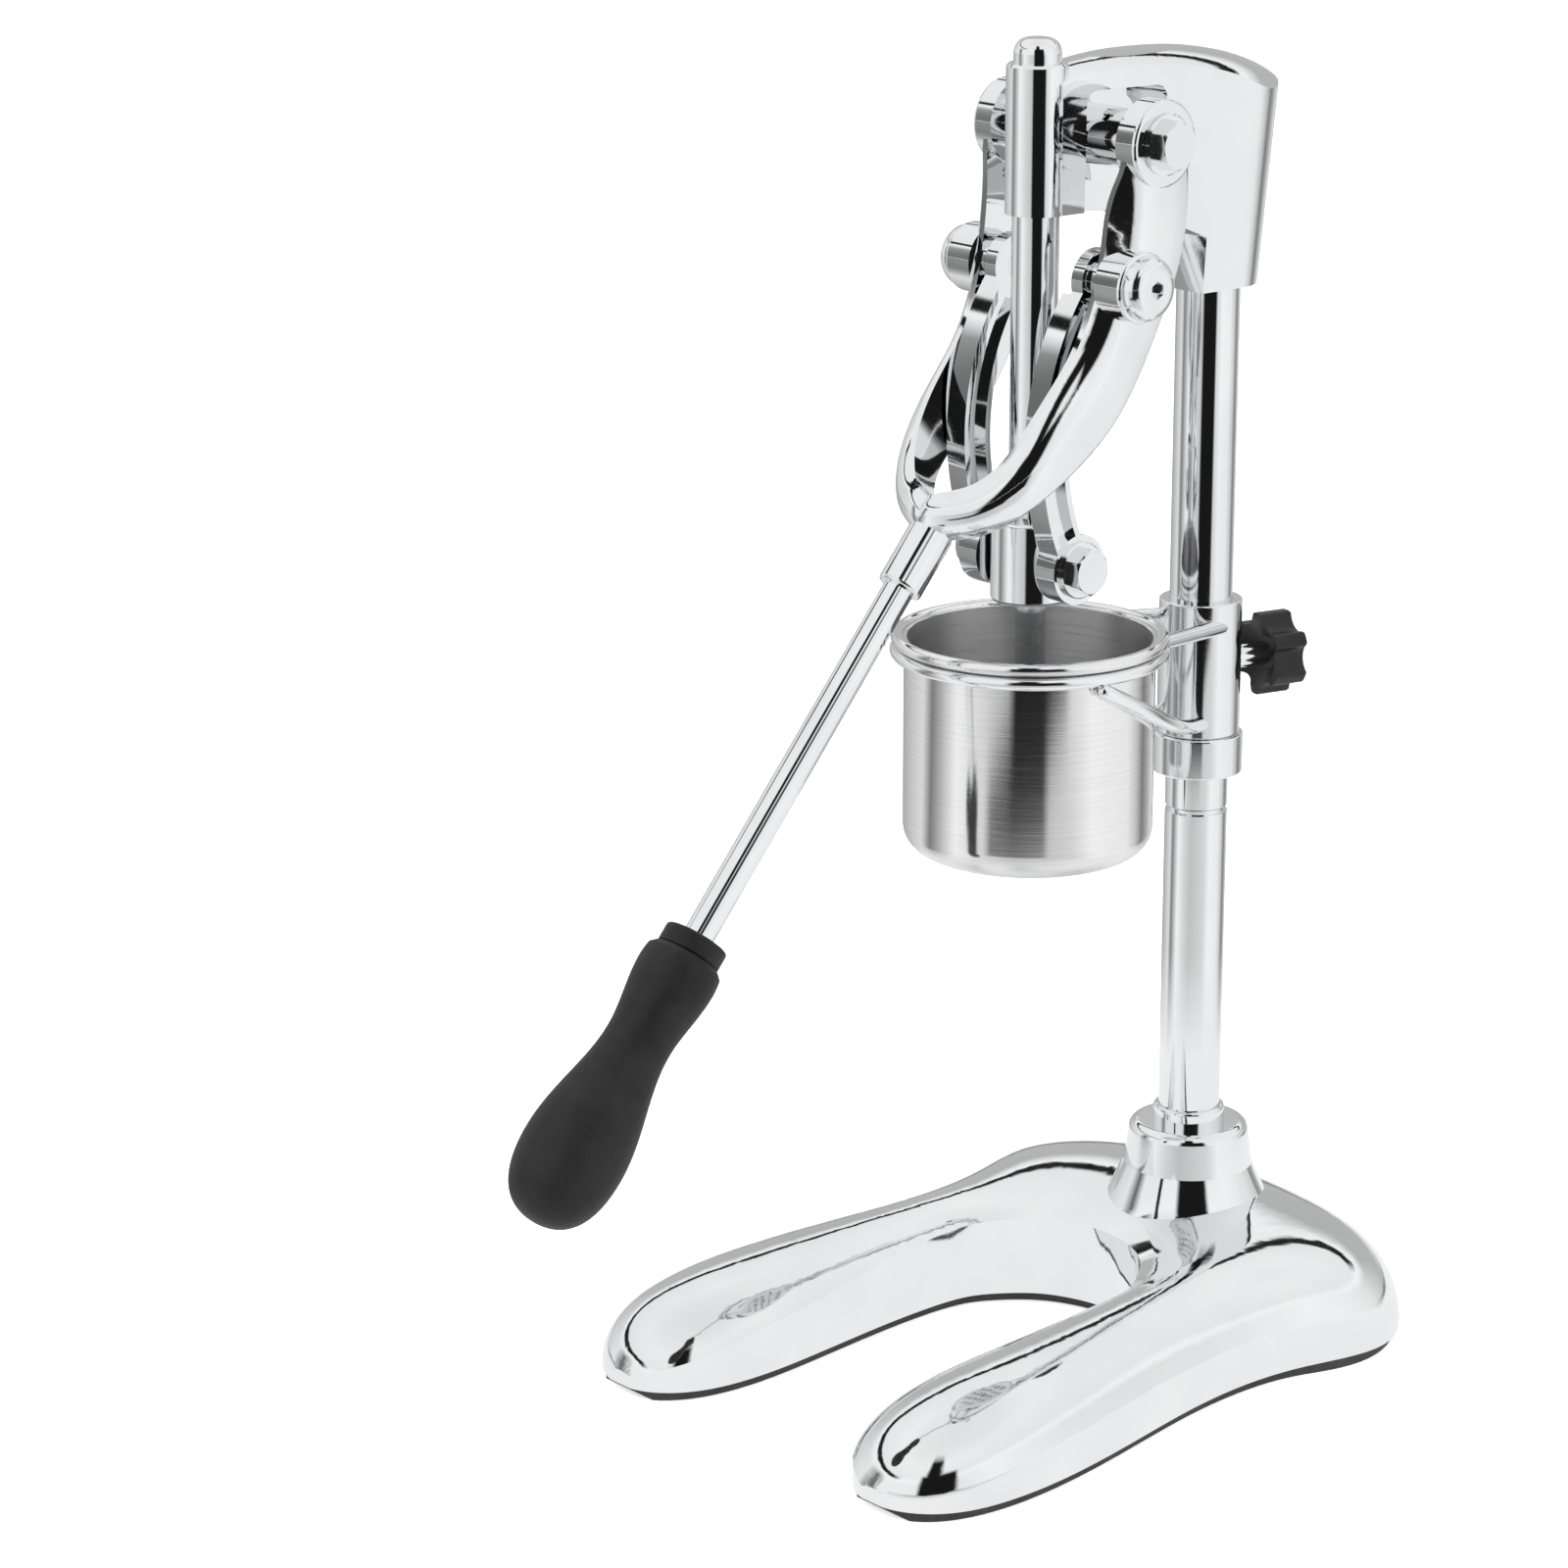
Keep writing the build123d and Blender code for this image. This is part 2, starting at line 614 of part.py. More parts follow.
arm_stations = [
    (eye_mid_x + 0.1, pivot_y, pivot_z, (0, 0.06, -1), 31.0, eye_width - 1.4),
    (eye_mid_x + 0.1, pivot_y - 0.5, pivot_z - 13.5, (0, -0.03, -1), 33.5, eye_width - 1.4),
    (eye_mid_x - 1.0, pivot_y - 1.5, pivot_z - 26.0, (-0.04, -0.15, -1), 36.0, 11.0),
    (link_outer_x + 10.4, link_pivot_y + 8.9, link_pivot_z + 7.0, (-0.06, -0.28, -1), 35.0, 11.2),
    (link_outer_x + 9.4, link_pivot_y + 1.7, link_pivot_z - 14.0, (-0.05, -0.45, -1), 31.5, 11.2),
    (link_outer_x + 8.4, link_pivot_y - 11.0, link_pivot_z - 37.0, (-0.05, -0.75, -0.9), 30.5, 11.2),
    (link_outer_x + 7.2, link_pivot_y - 28.3, link_pivot_z - 55.2, (-0.15, -0.8, -0.75), 27.5, 11.2),
    (link_outer_x + 2.5, yoke_y + 18.5, yoke_z + 19.0, (-0.5, -0.7, -0.62), 21.0, 11.4),
    (0.6 * link_outer_x, yoke_y + 5.5, yoke_z + 7.5, (-0.9, -0.4, -0.36), 18.5, 12.0),
    (0.0, yoke_y, yoke_z + 3.0, (-1, 0, 0), 18.0, 12.5),
]
arm_body = loft([arm_section(*station) for station in arm_stations])
eye = across(eye_dia / 2, eye_inner_x, eye_outer_x, pivot_y, pivot_z)
arm_boss = across(arm_boss_dia / 2, arm_boss_start_x, arm_boss_outer_x, link_pivot_y, link_pivot_z)
for boss_part in (eye, arm_boss):
    arm_body += fillet(boss_part.edges().sort_by(Axis.X)[-1], eye_edge)
arm_body += across(arm_stub_dia / 2, arm_boss_inner_x, arm_boss_start_x + 1.0, link_pivot_y, link_pivot_z)


def along_handle(radius, start, end):
    middle = Vector(0, yoke_y, yoke_z) + handle_dir * ((start + end) / 2)
    return Plane(middle, z_dir=handle_dir) * Cylinder(radius, end - start)


socket = along_handle(socket_dia / 2, 0.0, socket_length)
socket = fillet(socket.edges().filter_by(GeomType.CIRCLE), 1.2)
lever = arm_body + mirror(arm_body, about=Plane.YZ) + socket
rod_start = socket_length - rod_insert
lever -= along_handle(rod_dia / 2, rod_start, socket_length + 1.0)
eye_bore_radius = pivot_shaft_dia / 2 + run_fit
lever -= both_sides(across(eye_bore_radius, eye_inner_x - 2.0, eye_outer_x + 2.0, pivot_y, pivot_z))
boss_bore_radius = link_screw_dia / 2
boss_bore_end = arm_boss_outer_x + 3.0
lever -= both_sides(across(boss_bore_radius, link_outer_x, boss_bore_end, link_pivot_y, link_pivot_z))
save("lever_fork", lever)

# Links: curved bars with recessed sides, an eye at each end
chord_y = (link_pivot_y - ram_reach) / 2
chord_z = (link_pivot_z + ram_pivot_z) / 2
link_points = [
    Vector(link_pivot_y, link_pivot_z),
    Vector(chord_y - link_bow, chord_z + 1.0),
    Vector(-ram_reach, ram_pivot_z),
]
link_arc = ThreePointArc(*link_points)
link_centre = link_arc.arc_center


def link_band(width):
    rims = []
    for half in (-width / 2, width / 2):
        grow = (link_arc.radius + half) / link_arc.radius
        rims.append(ThreePointArc(*[link_centre + (point - link_centre) * grow for point in link_points]))
    ends = [Line(rims[0] @ 0, rims[1] @ 0), Line(rims[0] @ 1, rims[1] @ 1)]
    return make_face([*rims, *ends])


def link_slab(outline, start, end):
    return extrude(Plane((start, 0, 0), x_dir=(0, 1, 0), z_dir=(1, 0, 0)) * outline, end - start)


def link_eyes(top_radius, low_radius, start, end):
    top = across(top_radius, start, end, link_pivot_y, link_pivot_z)
    return top + across(low_radius, start, end, -ram_reach, ram_pivot_z)


recess_width = link_width - 2 * link_flange
recess_clear = link_eyes(link_top_eye / 2, link_low_eye / 2, link_inner_x - 1.0, link_outer_x + 1.0)
link = link_slab(link_band(link_width), link_inner_x, link_outer_x)
link -= link_slab(link_band(recess_width), link_inner_x, link_inner_x + link_recess) - recess_clear
link -= link_slab(link_band(recess_width), link_outer_x - link_recess, link_outer_x) - recess_clear
link += link_eyes(link_top_eye / 2, link_low_eye / 2, link_inner_x, link_outer_x)
link -= across(link_top_eye / 2 + 1.0, link_inner_x, link_eye_x, link_pivot_y, link_pivot_z)
link -= across(link_screw_dia / 2 + run_fit, link_eye_x, link_outer_x, link_pivot_y, link_pivot_z)
link -= across(link_bolt_dia / 2, link_inner_x, link_outer_x, -ram_reach, ram_pivot_z)
save("link_right", link)
save("link_left", mirror(link, about=Plane.YZ))

# Link screws with domed heads turn with the lever and carry the top eyes
screw_head_end = arm_boss_outer_x + link_screw_head_height
screw_head = across(link_screw_head / 2, arm_boss_outer_x, screw_head_end, link_pivot_y, link_pivot_z)
screw_head = fillet(screw_head.edges().sort_by(Axis.X)[-1], 0.86 * link_screw_head_height)
socket_floor_x = screw_head_end - 3.0
screw_head -= hex_across(link_screw_socket, socket_floor_x, screw_head_end, link_pivot_y, link_pivot_z)
screw = screw_head + across(link_screw_dia / 2, link_eye_x, arm_boss_outer_x, link_pivot_y, link_pivot_z)
save("link_screws", both_sides(screw))
spacer_start_x = link_outer_x + side_gap
link_spacer = across(link_spacer_dia / 2, spacer_start_x, arm_boss_inner_x, link_pivot_y, link_pivot_z)
link_spacer -= across(link_screw_dia / 2, link_outer_x, arm_boss_inner_x, link_pivot_y, link_pivot_z)
save("link_spacers", both_sides(link_spacer))

# Lower link bolts and washers
link_washer_end = link_outer_x + link_washer_height
link_washer = across(link_washer_dia / 2, link_outer_x, link_washer_end, -ram_reach, ram_pivot_z)
link_washer = eased(link_washer, washer_edge)
link_washer -= across(link_bolt_dia / 2, link_outer_x, link_washer_end, -ram_reach, ram_pivot_z)
save("crosshead_washers", both_sides(link_washer))
link_bolt_end = link_washer_end + link_bolt_head_height
link_bolt = bolt_head(link_bolt_head, link_washer_end, link_bolt_end, -ram_reach, ram_pivot_z)
link_bolt += across(link_bolt_dia / 2, link_inner_x, link_washer_end, -ram_reach, ram_pivot_z)
save("crosshead_bolts", both_sides(link_bolt))

# Ram: rod in the guide, crosshead, stem and piston
ram = upright(ram_dia / 2, ram_bottom_z, ram_top_z, 0, -ram_reach)
ram = fillet(ram.edges().sort_by(Axis.Z)[-1], ram_dome)
save("ram_rod", ram)
crosshead = upright(crosshead_dia / 2, crosshead_bottom_z, crosshead_top_z, 0, -ram_reach)
crosshead = fillet(crosshead.edges().filter_by(GeomType.CIRCLE), 1.5)
crosshead -= upright(ram_dia / 2, ram_bottom_z, crosshead_top_z, 0, -ram_reach)
crosshead -= upright(stem_dia / 2, crosshead_bottom_z, ram_bottom_z, 0, -ram_reach)
save("crosshead", crosshead)
piston_radius = cup_radius - cup_wall - piston_gap
piston_top_z = piston_bottom_z + piston_height
piston_hub_z = piston_top_z + piston_hub_height
nut_low_z = piston_bottom_z + 1.0
nut_top_z = nut_low_z + piston_nut_height
save("piston_stem", upright(stem_dia / 2, nut_low_z, ram_bottom_z, 0, -ram_reach))
piston = upright(piston_radius, piston_bottom_z, piston_top_z, 0, -ram_reach)
piston = fillet(piston.edges().sort_by(Axis.Z)[0], cup_corner - cup_wall)
piston += upright(piston_hub_dia / 2, piston_top_z, piston_hub_z, 0, -ram_reach)
piston -= upright(stem_dia / 2, piston_bottom_z, piston_hub_z, 0, -ram_reach)
piston -= upright(0.62 * piston_nut, piston_bottom_z, nut_top_z, 0, -ram_reach)
save("piston", piston)
nut = hex_upright(piston_nut, nut_low_z, nut_top_z, 0, -ram_reach)
nut -= upright(stem_dia / 2, nut_low_z, nut_top_z, 0, -ram_reach)
save("piston_nut", nut)

# Handle rod, grip collar and grip
grip_start = grip_collar_start + grip_collar_length
rod_end = grip_start + grip_bore_depth
save("handle_rod", along_handle(rod_dia / 2, rod_start, rod_end))
grip_collar = along_handle(grip_collar_dia / 2, grip_collar_start, grip_start)
grip_collar = fillet(grip_collar.edges().filter_by(GeomType.CIRCLE), 1.2)
grip_collar -= along_handle(rod_dia / 2, grip_collar_start, grip_start)
save("grip_collar", grip_collar)
grip_plane = Plane(
    Vector(0, yoke_y, yoke_z) + handle_dir * grip_start, x_dir=(1, 0, 0), z_dir=handle_side
)
grip_side = Spline(
    (grip_top_dia / 2, 2.0),
    (grip_waist_dia / 2, 0.3 * grip_length),
    (grip_bulb_dia / 2, 0.76 * grip_length),
    (0, grip_length),
    tangents=[(0.2, 1), (-1, 0)],
)
grip_shoulder = Line((grip_top_dia / 2 - 2.0, 0), (grip_top_dia / 2, 2.0))
grip_face = make_face(
    [Line((0, grip_length), (0, 0)), Line((0, 0), (grip_top_dia / 2 - 2.0, 0)), grip_shoulder, grip_side]
)
grip = revolve(grip_plane * grip_face, Axis(grip_plane.origin, handle_dir))
grip -= along_handle(rod_dia / 2, grip_start, rod_end)
save("handle_grip", grip)
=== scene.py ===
import math

import bpy
from mathutils import Matrix, Vector

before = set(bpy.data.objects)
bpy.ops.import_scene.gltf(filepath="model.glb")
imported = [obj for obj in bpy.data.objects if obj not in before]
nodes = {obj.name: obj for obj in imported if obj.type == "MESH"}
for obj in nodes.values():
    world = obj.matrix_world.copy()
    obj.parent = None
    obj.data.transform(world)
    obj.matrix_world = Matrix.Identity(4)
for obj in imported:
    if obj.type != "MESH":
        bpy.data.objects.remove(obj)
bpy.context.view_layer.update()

# Camera fitted to the photograph, in its 1600 x 1600 frame
FRAME_PX = 1600
FOCAL_PX = 4828.9
PRINCIPAL_PX = (802.5, 803.0)
SENSOR_WIDTH = 36.0
AZIMUTH = math.radians(48.309)
ELEVATION = math.radians(16.558)
ROLL = math.radians(-0.089)
CAMERA_AT = Vector((1.2492, -1.3328, 0.7570))
VIEW_LIMIT = 50.0

# Finishes: colours at two levels of the noise that clouds each surface
CHROME_TINTS = [(0.3, (0.83, 0.835, 0.845, 1.0)), (0.7, (0.89, 0.895, 0.9, 1.0))]
STEEL_TINTS = [(0.25, (0.78, 0.78, 0.785, 1.0)), (0.75, (0.92, 0.92, 0.925, 1.0))]
ZINC_TINTS = [(0.3, (0.52, 0.53, 0.54, 1.0)), (0.75, (0.72, 0.73, 0.74, 1.0))]
PLASTIC_TINTS = [(0.35, (0.006, 0.006, 0.0065, 1.0)), (0.75, (0.016, 0.016, 0.017, 1.0))]
RUBBER_TONES = [(0.3, 0.016), (0.8, 0.05)]
FLOOR_PAINT_TONES = [(0.3, 0.86), (0.7, 0.89)]

# Finishes: stretch of the marks along X, Y and Z, and the depth of the finest ones
EVEN_MARKS = (2.0, 2.0, 2.0)
ROUND_MARKS = (1.0, 1.0, 9.0)
BRUSHED_MARKS = (6.0, 6.0, 420.0)
FINE_DEPTH = 0.0001

# Stage: half width and glow of the floor, half width and height of the card that only reflections see
FLOOR_HALF = 12.0
FLOOR_GLOW = 0.4
CARD_HALF = 9.0
CARD_RISE = 0.0006

# Reflections: brightness at each bearing, in degrees from +X, over the floor and low in the surround
FLOOR_TONES = [
    (-180, 0.55), (-150, 0.80), (-138, 0.22), (-128, 0.45), (-110, 1.00), (-85, 0.75),
    (-62, 0.60), (-12, 0.75), (8, 1.00), (52, 0.92), (68, 0.60), (80, 0.22),
    (94, 0.45), (110, 0.80), (126, 0.30), (142, 0.30), (180, 0.55),
]
WALL_TONES = [
    (-180, 0.75), (-150, 0.90), (-134, 0.12), (-122, 0.95), (-12, 0.90),
    (20, 1.00), (60, 0.85), (100, 0.50), (150, 0.50), (180, 0.75),
]

# Reflections: brightness near the object, and the distances between which it gives way to the floor's
NEAR_TONE = 0.95
NEAR_FADE = [(0.30, 0.0), (0.45, 1.0)]

# Reflections: brightness of the surround by height, from 0 at the horizon to 1 overhead
WALL_FADE = [(0.34, 0.0), (0.44, 1.0)]
CEILING_TONES = [(0.46, 1.0), (0.535, 0.9), (0.8, 0.95), (1.0, 0.85)]

# Dark gaps: brightness, and half the width of a soft edge in degrees
DARK_TONE = 0.01
DARK_EDGE = 2.88

# Dark gaps: the sector in front, its taller part, and a thin band behind, with their fades by height
DARK_SECTOR = (-62.0, -14.0)
DARK_SECTOR_FADE = [(0.55, 1.0), (0.62, 0.0)]
DARK_PEAK = (-56.0, -34.0)
DARK_PEAK_FADE = [(0.84, 1.0), (0.94, 0.0)]
REAR_BAND = [(-180, 1.0), (-112, 1.0), (-96, 0.0), (78, 0.0), (94, 1.0), (180, 1.0)]
REAR_BAND_FADE = [(0.46, 0.0), (0.47, 1.0), (0.52, 1.0), (0.535, 0.0)]

# Dark gaps: distances over which the front sector sets in on the floor, and its turn where it is near
DARK_REACH = (0.74, 0.86)
DARK_TURN = 20.0
DARK_TURN_REACH = (0.96, 1.12)

# Lights: name, place, target, size and power
LIGHTS = [
    ("key_light", (-1.4, -1.6, 2.2), (0.0, -0.1, 0.25), (1.4, 1.4), 40.0),
    ("fill_light", (1.9, 0.2, 1.6), (0.0, -0.1, 0.25), (1.0, 1.6), 22.0),
    ("top_light", (0.1, 0.2, 2.6), (0.0, -0.1, 0.2), (1.6, 1.6), 40.0),
]


def make_camera():
    """Camera with the place, turn and lens fitted to the photograph."""
    level = Vector((math.cos(AZIMUTH), math.sin(AZIMUTH), 0.0))
    view = Vector((
        -math.sin(AZIMUTH) * math.cos(ELEVATION),
        math.cos(AZIMUTH) * math.cos(ELEVATION),
        -math.sin(ELEVATION),
    ))
    rise = level.cross(view)
    right = level * math.cos(ROLL) + rise * math.sin(ROLL)
    up = rise * math.cos(ROLL) - level * math.sin(ROLL)
    data = bpy.data.cameras.new("camera")
    data.sensor_width = SENSOR_WIDTH
    data.lens = FOCAL_PX / FRAME_PX * SENSOR_WIDTH
    data.shift_x = (FRAME_PX / 2 - PRINCIPAL_PX[0]) / FRAME_PX
    data.shift_y = (PRINCIPAL_PX[1] - FRAME_PX / 2) / FRAME_PX
    data.clip_end = VIEW_LIMIT
    camera = bpy.data.objects.new("camera", data)
    turn = Matrix((right, up, -view)).transposed()
    camera.matrix_world = Matrix.Translation(CAMERA_AT) @ turn.to_4x4()
    bpy.context.scene.collection.objects.link(camera)
    bpy.context.scene.camera = camera


# Shader nodes
def grey(tone):
    return (tone, tone, tone, 1.0)


class Nodes:
    """Adds shader nodes to one node tree and hands back their outputs."""

    def __init__(self, tree):
        self.tree = tree

    def link(self, output, node, socket):
        self.tree.links.new(output, node.inputs[socket])

    def add(self, kind, inputs=None, **settings):
        node = self.tree.nodes.new(kind)
        for name, value in settings.items():
            setattr(node, name, value)
        for name, value in (inputs or {}).items():
            if isinstance(value, bpy.types.NodeSocket):
                self.link(value, node, name)
            else:
                node.inputs[name].default_value = value
        return node

    def calc(self, operation, *values):
        node = self.add("ShaderNodeMath", dict(enumerate(values)), operation=operation)
        return node.outputs["Value"]

    def vector_calc(self, operation, *vectors):
        node = self.add("ShaderNodeVectorMath", dict(enumerate(vectors)), operation=operation)
        return node.outputs["Value"]

    def mix(self, share, first, second):
        """Colour that goes from first to second as share goes from 0 to 1."""
        node = self.add("ShaderNodeMix", {0: share, 6: first, 7: second}, data_type="RGBA")
        return node.outputs[2]

    def ramp(self, value, stops):
        """Colour along a list of positions with their colours."""
        node = self.add("ShaderNodeValToRGB", {"Fac": value})
        elements = node.color_ramp.elements
        while len(elements) < len(stops):
            elements.new(1.0)
        for element, (position, color) in zip(elements, stops):
            element.position = position
            element.color = color
        return node.outputs["Color"]

    def tones(self, value, stops):
        """Grey along a list of positions with their brightness."""
        return self.ramp(value, [(position, grey(tone)) for position, tone in stops])

    def span(self, value, low, high):
        """Value from 0 to 1, carried over to low to high."""
        node = self.add("ShaderNodeMapRange", {"Value": value, "To Min": low, "To Max": high})
        return node.outputs["Result"]

    def share(self, value, low, high, first=0.0, last=1.0):
        """Value from low to high, carried over to first to last and held outside."""
        limits = {"From Min": low, "From Max": high, "To Min": first, "To Max": last}
        node = self.add("ShaderNodeMapRange", {"Value": value, **limits})
        return node.outputs["Result"]

    def noise(self, vector, scale, detail, roughness=0.55):
        inputs = {"Vector": vector, "Scale": scale, "Detail": detail, "Roughness": roughness}
        return self.add("ShaderNodeTexNoise", inputs).outputs["Fac"]

    def stretched(self, vector, scale):
        return self.add("ShaderNodeMapping", {"Vector": vector, "Scale": scale}).outputs["Vector"]

    def bump(self, height, strength, depth, below=None):
        inputs = {"Height": height, "Strength": strength, "Distance": depth}
        if below is not None:
            inputs["Normal"] = below
        return self.add("ShaderNodeBump", inputs).outputs["Normal"]


# Finishes
def new_material(name):
    """New material, with its node kit, its main shader and the node's own coordinates."""
    material = bpy.data.materials.new(name)
    material.use_nodes = True
    kit = Nodes(material.node_tree)
    shader = next(n for n in material.node_tree.nodes if n.type == "BSDF_PRINCIPLED")
    place = kit.add("ShaderNodeTexCoord").outputs["Object"]
    return material, kit, shader, place


def polished_chrome(name, wave, rough, marks):
    """Chrome plating: wave is the depth of its ripple, marks the stretch of its fine marks."""
    material, kit, shader, place = new_material(name)
    shader.inputs["Metallic"].default_value = 1.0
    cloud = kit.noise(place, scale=22.0, detail=3.0)
    kit.link(kit.ramp(cloud, CHROME_TINTS), shader, "Base Color")
    along = kit.stretched(place, marks)
    smudge = kit.noise(along, scale=60.0, detail=6.0, roughness=0.65)
    kit.link(kit.span(smudge, low=0.5 * rough, high=1.6 * rough), shader, "Roughness")
    swell = kit.noise(place, scale=14.0, detail=1.5, roughness=0.4)
    ripple = kit.bump(swell, strength=0.25, depth=wave)
    scratch = kit.noise(along, scale=700.0, detail=2.0)
    kit.link(kit.bump(scratch, strength=0.03, depth=FINE_DEPTH, below=ripple), shader, "Normal")
    return material


def brushed_steel(name, centre, rough, inside_rough):
    """Stainless sheet with marks round an upright axis, rougher by inside_rough on its inner side."""
    material, kit, shader, place = new_material(name)
    shader.inputs["Metallic"].default_value = 1.0
    shift = {"Vector": place, "Location": (-centre.x, -centre.y, 0.0)}
    from_axis = kit.add("ShaderNodeMapping", shift).outputs["Vector"]
    grain = kit.noise(kit.stretched(from_axis, BRUSHED_MARKS), scale=3.0, detail=8.0, roughness=0.7)
    kit.link(kit.ramp(grain, STEEL_TINTS), shader, "Base Color")
    facing = kit.add("ShaderNodeNewGeometry").outputs["Normal"]
    inside = kit.calc("LESS_THAN", kit.vector_calc("DOT_PRODUCT", facing, from_axis), 0.0)
    satin = kit.calc("MULTIPLY_ADD", inside, inside_rough, rough)
    kit.link(kit.calc("MULTIPLY", satin, kit.span(grain, low=0.7, high=1.4)), shader, "Roughness")
    shader.inputs["Anisotropic"].default_value = 0.8
    shader.inputs["Anisotropic Rotation"].default_value = 0.25
    tangent = kit.add("ShaderNodeTangent", direction_type="RADIAL", axis="Z")
    kit.link(tangent.outputs["Tangent"], shader, "Tangent")
    kit.link(kit.bump(grain, strength=0.12, depth=FINE_DEPTH), shader, "Normal")
    return material


def zinc_steel(name):
    """Cloudy zinc plating for screws and nuts."""
    material, kit, shader, place = new_material(name)
    shader.inputs["Metallic"].default_value = 1.0
    cloud = kit.noise(place, scale=180.0, detail=6.0, roughness=0.6)
    kit.link(kit.ramp(cloud, ZINC_TINTS), shader, "Base Color")
    kit.link(kit.span(cloud, low=0.22, high=0.4), shader, "Roughness")
    kit.link(kit.bump(cloud, strength=0.1, depth=2 * FINE_DEPTH), shader, "Normal")
    return material


def moulded_plastic(name, rough, grain_scale):
    """Black plastic with a fine moulded grain and faint rubbed patches."""
    material, kit, shader, place = new_material(name)
    patches = kit.noise(place, scale=45.0, detail=6.0, roughness=0.6)
    kit.link(kit.ramp(patches, PLASTIC_TINTS), shader, "Base Color")
    kit.link(kit.span(patches, low=0.85 * rough, high=1.2 * rough), shader, "Roughness")
    shader.inputs["Specular IOR Level"].default_value = 0.3
    grain = kit.noise(place, scale=grain_scale, detail=3.0, roughness=0.6)
    kit.link(kit.bump(grain, strength=0.22, depth=3 * FINE_DEPTH), shader, "Normal")
    return material


def black_rubber(name):
    """Dull black rubber with fine dust."""
    material, kit, shader, place = new_material(name)
    dust = kit.noise(place, scale=120.0, detail=8.0, roughness=0.7)
    kit.link(kit.tones(dust, RUBBER_TONES), shader, "Base Color")
    kit.link(kit.span(dust, low=0.6, high=0.9), shader, "Roughness")
    kit.link(kit.bump(dust, strength=0.3, depth=4 * FINE_DEPTH), shader, "Normal")
    return material


def middle_of(name):
    """Middle of a node's box, in the node's own coordinates."""
    corners = [Vector(corner) for corner in nodes[name].bound_box]
    return sum(corners, Vector()) / len(corners)


def dress_nodes():
    """Gives every node of the frame its finish."""
    castings = polished_chrome("chrome_casting", wave=0.0006, rough=0.05, marks=EVEN_MARKS)
    turned = polished_chrome("chrome_turned", wave=0.0, rough=0.05, marks=ROUND_MARKS)
    wire = polished_chrome("chrome_wire", wave=0.0002, rough=0.09, marks=EVEN_MARKS)
    bolts = polished_chrome("chrome_bolts", wave=0.0003, rough=0.12, marks=EVEN_MARKS)
    sheet = brushed_steel("stainless_sheet", middle_of("cup"), rough=0.09, inside_rough=0.19)
    zinc = zinc_steel("zinc_steel")
    grip = moulded_plastic("black_grip", rough=0.5, grain_scale=900.0)
    knob = moulded_plastic("black_knob", rough=0.32, grain_scale=1400.0)
    rubber = black_rubber("black_rubber")
    wearing = {
        castings: ["base_casting", "head_casting", "lever_fork", "link_right", "link_left"],
        turned: [
            "column_lower", "column_upper", "column_foot_ring", "stop_collar", "holder_sleeve", "ram_rod",
            "crosshead", "piston_stem", "handle_rod", "pivot_shaft", "pivot_spacers", "link_spacers",
        ],
        wire: ["holder_ring", "holder_arms", "holder_braces"],
        bolts: [
            "pivot_bolts", "pivot_washers", "link_screws", "crosshead_bolts", "crosshead_washers",
            "clamp_stud",
        ],
        sheet: ["cup", "piston"],
        zinc: [
            "column_bolt", "column_washer", "column_joint_stud", "collar_set_screw", "head_set_screw",
            "piston_nut",
        ],
        grip: ["handle_grip", "grip_collar"],
        knob: ["clamp_knob"],
        rubber: ["base_sole"],
    }
    for material, names in wearing.items():
        for name in names:
            mesh = nodes[name].data
            mesh.materials.clear()
            mesh.materials.append(material)


# Studio: pale floor, soft lights, and a pale surround with dark gaps that polished metal can reflect
def flat_square(name, half, rise):
    """Level square with its middle on the upright axis."""
    mesh = bpy.data.meshes.new(name)
    corners = [(-half, -half, rise), (half, -half, rise), (half, half, rise), (-half, half, rise)]
    mesh.from_pydata(corners, [], [(0, 1, 2, 3)])
    square = bpy.data.objects.new(name, mesh)
    bpy.context.scene.collection.objects.link(square)
    return square


def make_floor():
    """Pale painted floor with a faint mottle."""
    floor = flat_square("floor", FLOOR_HALF, 0.0)
    material, kit, shader, place = new_material("floor_paint")
    mottle = kit.noise(place, scale=3.0, detail=4.0)
    kit.link(kit.tones(mottle, FLOOR_PAINT_TONES), shader, "Base Color")
    shader.inputs["Roughness"].default_value = 0.7
    shader.inputs["Emission Color"].default_value = grey(1.0)
    shader.inputs["Emission Strength"].default_value = FLOOR_GLOW
    floor.data.materials.append(material)


def make_light(name, place, target, size, power):
    """Soft light that reflections don't show."""
    data = bpy.data.lights.new(name, "AREA")
    data.shape = "RECTANGLE"
    data.size = size[0]
    data.size_y = size[1]
    data.energy = power
    light = bpy.data.objects.new(name, data)
    light.location = place
    light.visible_glossy = False
    light.rotation_euler = (Vector(target) - Vector(place)).to_track_quat("-Z", "Y").to_euler()
    bpy.context.scene.collection.objects.link(light)


def part_of_turn(degrees):
    """Bearing from -180 to 180 degrees as 0 to 1."""
    return (degrees + 180.0) / 360.0


def bearing_of(kit, at):
    """Bearing of a place or direction round the upright axis, as 0 to 1."""
    angle = kit.calc("ARCTAN2", at.outputs["Y"], at.outputs["X"])
    return kit.share(angle, -math.pi, math.pi)


def tones_round(kit, turn, tones):
    """Grey by bearing, from a list of degrees with their brightness."""
    return kit.tones(turn, [(part_of_turn(degrees), tone) for degrees, tone in tones])


def sector_mask(kit, turn, edges):
    """1 between two bearings and 0 outside them, with soft edges."""
    low, high = edges
    rise = [(low - DARK_EDGE, 0.0), (low + DARK_EDGE, 1.0)]
    fall = [(high - DARK_EDGE, 1.0), (high + DARK_EDGE, 0.0)]
    return tones_round(kit, turn, rise + fall)


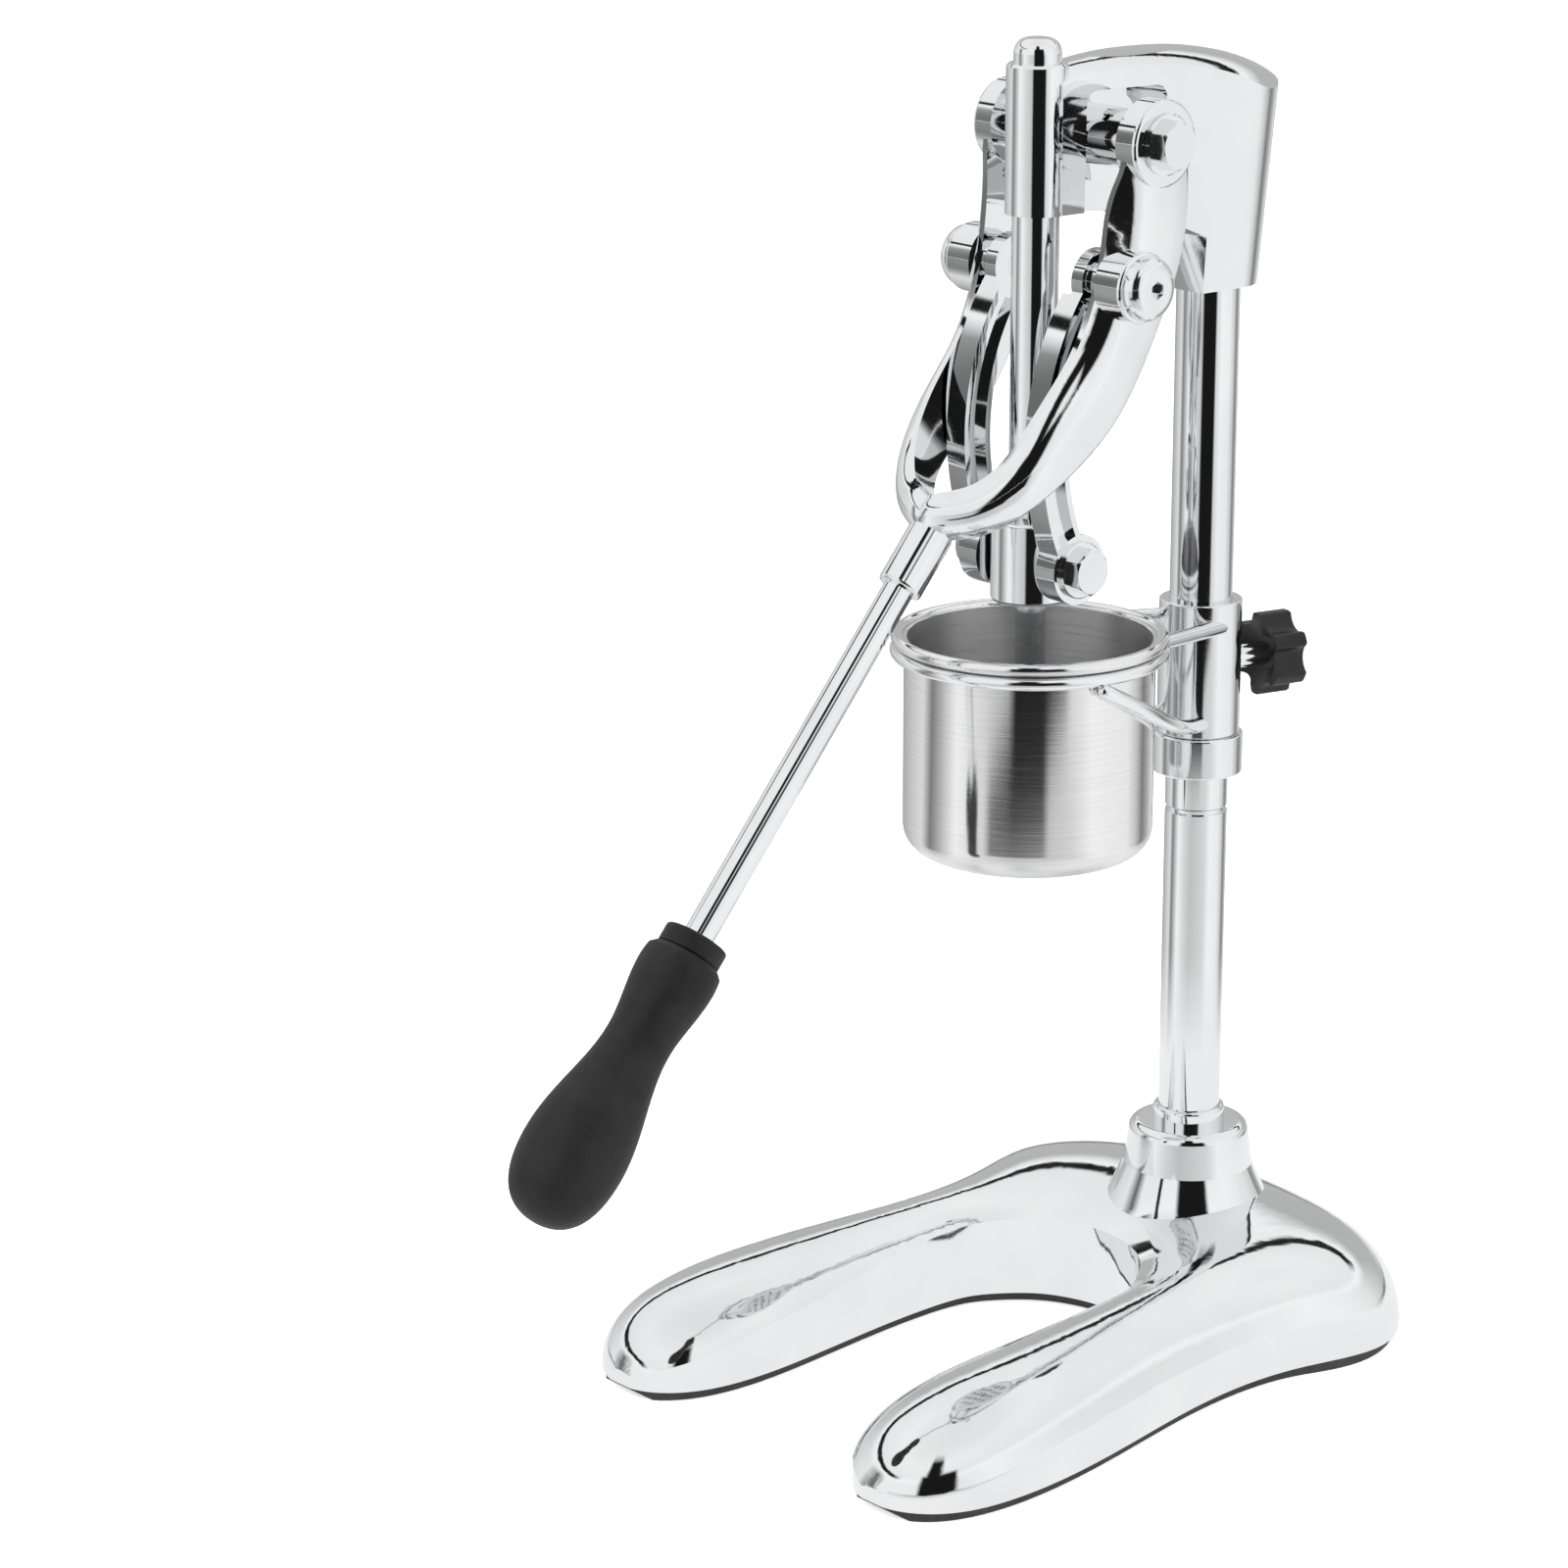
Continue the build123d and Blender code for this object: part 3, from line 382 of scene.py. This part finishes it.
def make_reflection_card():
    """Card on the floor that only reflections see: pale and grey sectors, and a dark one in front."""
    card = flat_square("reflection_card", CARD_HALF, CARD_RISE)
    material = bpy.data.materials.new("reflection_card")
    material.use_nodes = True
    material.node_tree.nodes.clear()
    kit = Nodes(material.node_tree)
    place = kit.add("ShaderNodeTexCoord").outputs["Object"]
    turn = bearing_of(kit, kit.add("ShaderNodeSeparateXYZ", {"Vector": place}))
    reach = kit.vector_calc("LENGTH", place)
    far_tones = tones_round(kit, turn, FLOOR_TONES)
    pale = kit.mix(kit.tones(reach, NEAR_FADE), grey(NEAR_TONE), far_tones)
    lag = kit.share(reach, *DARK_TURN_REACH, first=DARK_TURN / 360.0, last=0.0)
    sector = sector_mask(kit, kit.calc("ADD", turn, lag), DARK_SECTOR)
    cover = kit.calc("MULTIPLY", sector, kit.share(reach, *DARK_REACH))
    glow = kit.add("ShaderNodeEmission", {"Color": kit.mix(cover, pale, grey(DARK_TONE))})
    kit.add("ShaderNodeOutputMaterial", {"Surface": glow.outputs["Emission"]})
    card.data.materials.append(material)
    card.visible_camera = False
    card.visible_diffuse = False
    card.visible_shadow = False
    card.visible_transmission = False


def make_surround():
    """Pale walls and ceiling with dark gaps for the reflections, and plain white behind the object."""
    world = bpy.data.worlds.new("studio")
    bpy.context.scene.world = world
    world.use_nodes = True
    kit = Nodes(world.node_tree)
    background = next(n for n in world.node_tree.nodes if n.type == "BACKGROUND")
    way = kit.add("ShaderNodeSeparateXYZ", {"Vector": kit.add("ShaderNodeTexCoord").outputs["Generated"]})
    turn = bearing_of(kit, way)
    height = way.outputs["Z"]
    walls = tones_round(kit, turn, WALL_TONES)
    pale = kit.mix(kit.tones(height, WALL_FADE), walls, kit.tones(height, CEILING_TONES))
    sector = kit.calc("MULTIPLY", sector_mask(kit, turn, DARK_SECTOR), kit.tones(height, DARK_SECTOR_FADE))
    peak = kit.calc("MULTIPLY", sector_mask(kit, turn, DARK_PEAK), kit.tones(height, DARK_PEAK_FADE))
    rear = kit.calc("MULTIPLY", tones_round(kit, turn, REAR_BAND), kit.tones(height, REAR_BAND_FADE))
    cover = kit.calc("MAXIMUM", kit.calc("MAXIMUM", sector, peak), rear)
    reflected = kit.mix(cover, pale, grey(DARK_TONE))
    seen = kit.add("ShaderNodeLightPath").outputs["Is Camera Ray"]
    kit.link(kit.mix(seen, reflected, grey(1.0)), background, "Color")
    background.inputs["Strength"].default_value = 1.0


bpy.context.scene.view_settings.view_transform = "Standard"
make_camera()
dress_nodes()
make_floor()
make_reflection_card()
make_surround()
for light in LIGHTS:
    make_light(*light)
